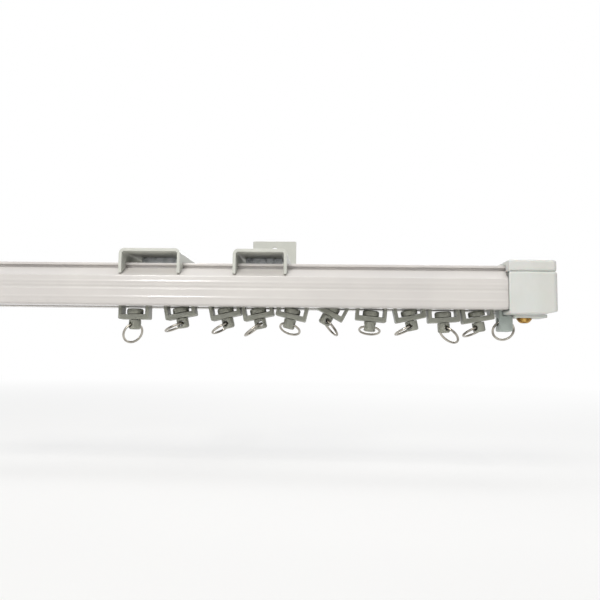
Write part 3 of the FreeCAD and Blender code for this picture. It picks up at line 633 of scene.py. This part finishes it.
def raysToCamera(tree):  # 1 for what is seen straight, in a reflection or through something clear
    path = addNode(tree, "ShaderNodeLightPath")
    seen = addNode(
        tree, "ShaderNodeMath", {0: path.outputs["Is Camera Ray"], 1: path.outputs["Is Glossy Ray"]},
        operation="MAXIMUM",
    )
    direct = addNode(
        tree, "ShaderNodeMath", {0: seen.outputs[0], 1: path.outputs["Is Transmission Ray"]},
        operation="MAXIMUM",
    )
    return direct.outputs[0]


def paperFloor(look):  # matt paper sweep that keeps the shadow and runs out to white
    material, tree, shader = startMaterial(
        "paperFloor", {"Base Color": linear(look["floor"]), "Roughness": 0.9}
    )
    place = addNode(tree, "ShaderNodeTexCoord").outputs["Object"]
    away = addNode(tree, "ShaderNodeVectorMath", {0: place}, operation="LENGTH")
    fade = addNode(
        tree, "ShaderNodeMapRange",
        {"Value": away.outputs["Value"], "From Min": look["fadeFrom"], "From Max": look["fadeTo"]},
        interpolation_type="SMOOTHSTEP",
    )
    pale = addNode(tree, "ShaderNodeMapRange", {"Value": fade.outputs[0], "To Min": look["paleness"]})
    share = addNode(
        tree, "ShaderNodeMath", {0: raysToCamera(tree), 1: pale.outputs[0]}, operation="MULTIPLY"
    )
    glow = addNode(tree, "ShaderNodeEmission", {"Color": white, "Strength": 1.0})
    both = addNode(
        tree, "ShaderNodeMixShader", {0: share.outputs[0], 1: shader.outputs[0], 2: glow.outputs[0]}
    )
    tree.links.new(both.outputs[0], tree.nodes["Material Output"].inputs["Surface"])
    return material


r, z = stage["reach"], stage["level"]
floorMesh = bpy.data.meshes.new("paleFloor")
floorMesh.from_pydata([(-r, -r, z), (r, -r, z), (r, r, z), (-r, r, z)], [], [(0, 1, 2, 3)])
floorMesh.materials.append(paperFloor(stage))
newObject("paleFloor", floorMesh)

scene.world = bpy.data.worlds.new("studio")
scene.world.use_nodes = True
sky = scene.world.node_tree
sky.nodes.clear()
soft = addNode(
    sky, "ShaderNodeBackground", {"Color": linear(stage["sky"]), "Strength": stage["skyStrength"]}
)
plain = addNode(sky, "ShaderNodeBackground", {"Color": white, "Strength": 1.0})
shown = addNode(sky, "ShaderNodeMixShader", {0: raysToCamera(sky), 1: soft.outputs[0], 2: plain.outputs[0]})
addNode(sky, "ShaderNodeOutputWorld", {"Surface": shown.outputs[0]})
scene.view_settings.view_transform = "Standard"

lampAim = Vector((0.02, -0.09, -0.04))  # on the rail, over the middle of the row of gliders
lamps = {  # places and sizes in metres, power in watts
    "keyLamp": {"place": (-0.28, -1.1, 0.85), "size": (0.55, 0.4), "power": 8.1, "colour": "fffcf6"},
    # the face's beads draw these two out to bright streaks
    "windowLamp": {"place": (-0.32, -1.1, 0.33), "size": (0.13, 0.09), "power": 1.6, "colour": "ffffff"},
    "sparkLamp": {"place": (0.25, -0.9, 0.8), "size": (0.07, 0.05), "power": 1.0, "colour": "ffffff"},
    "topLamp": {"place": (0.05, -0.2, 0.8), "size": (0.9, 0.35), "power": 2.2, "colour": "ffffff"},
    # for the views of the wall side
    "backLamp": {"place": (0.25, 1.15, 0.6), "size": (0.9, 0.6), "power": 7.0, "colour": "fbfcff"},
}
for name, lamp in lamps.items():
    light = bpy.data.lights.new(name, "AREA")
    light.shape = "RECTANGLE"
    light.size, light.size_y = lamp["size"]
    light.energy = lamp["power"]
    light.color = linear(lamp["colour"])[:3]
    thing = newObject(name, light)
    thing.location = lamp["place"]
    towards = lampAim - Vector(lamp["place"])
    thing.rotation_euler = towards.to_track_quat("-Z", "Y").to_euler()

photoView = {  # fitted to the rail's edges, the right cap and the brackets
    "place": (0.04253, -0.47896, -0.0811),
    "right": (0.99887, 0.04493, 0.01525), "up": (-0.01117, -0.08987, 0.99589),
    "lens": 37.2, "sensor": 36, "near": 0.01,
}
lens = bpy.data.cameras.new("photoCamera")
lens.sensor_width = photoView["sensor"]
lens.lens = photoView["lens"]
lens.clip_start = photoView["near"]
camera = newObject("photoCamera", lens)
right, up = Vector(photoView["right"]), Vector(photoView["up"])
turn = Matrix((right, up, right.cross(up).normalized())).transposed()
camera.matrix_world = Matrix.Translation(photoView["place"]) @ turn.to_4x4()
scene.camera = camera
print("floor, lamps and camera set")
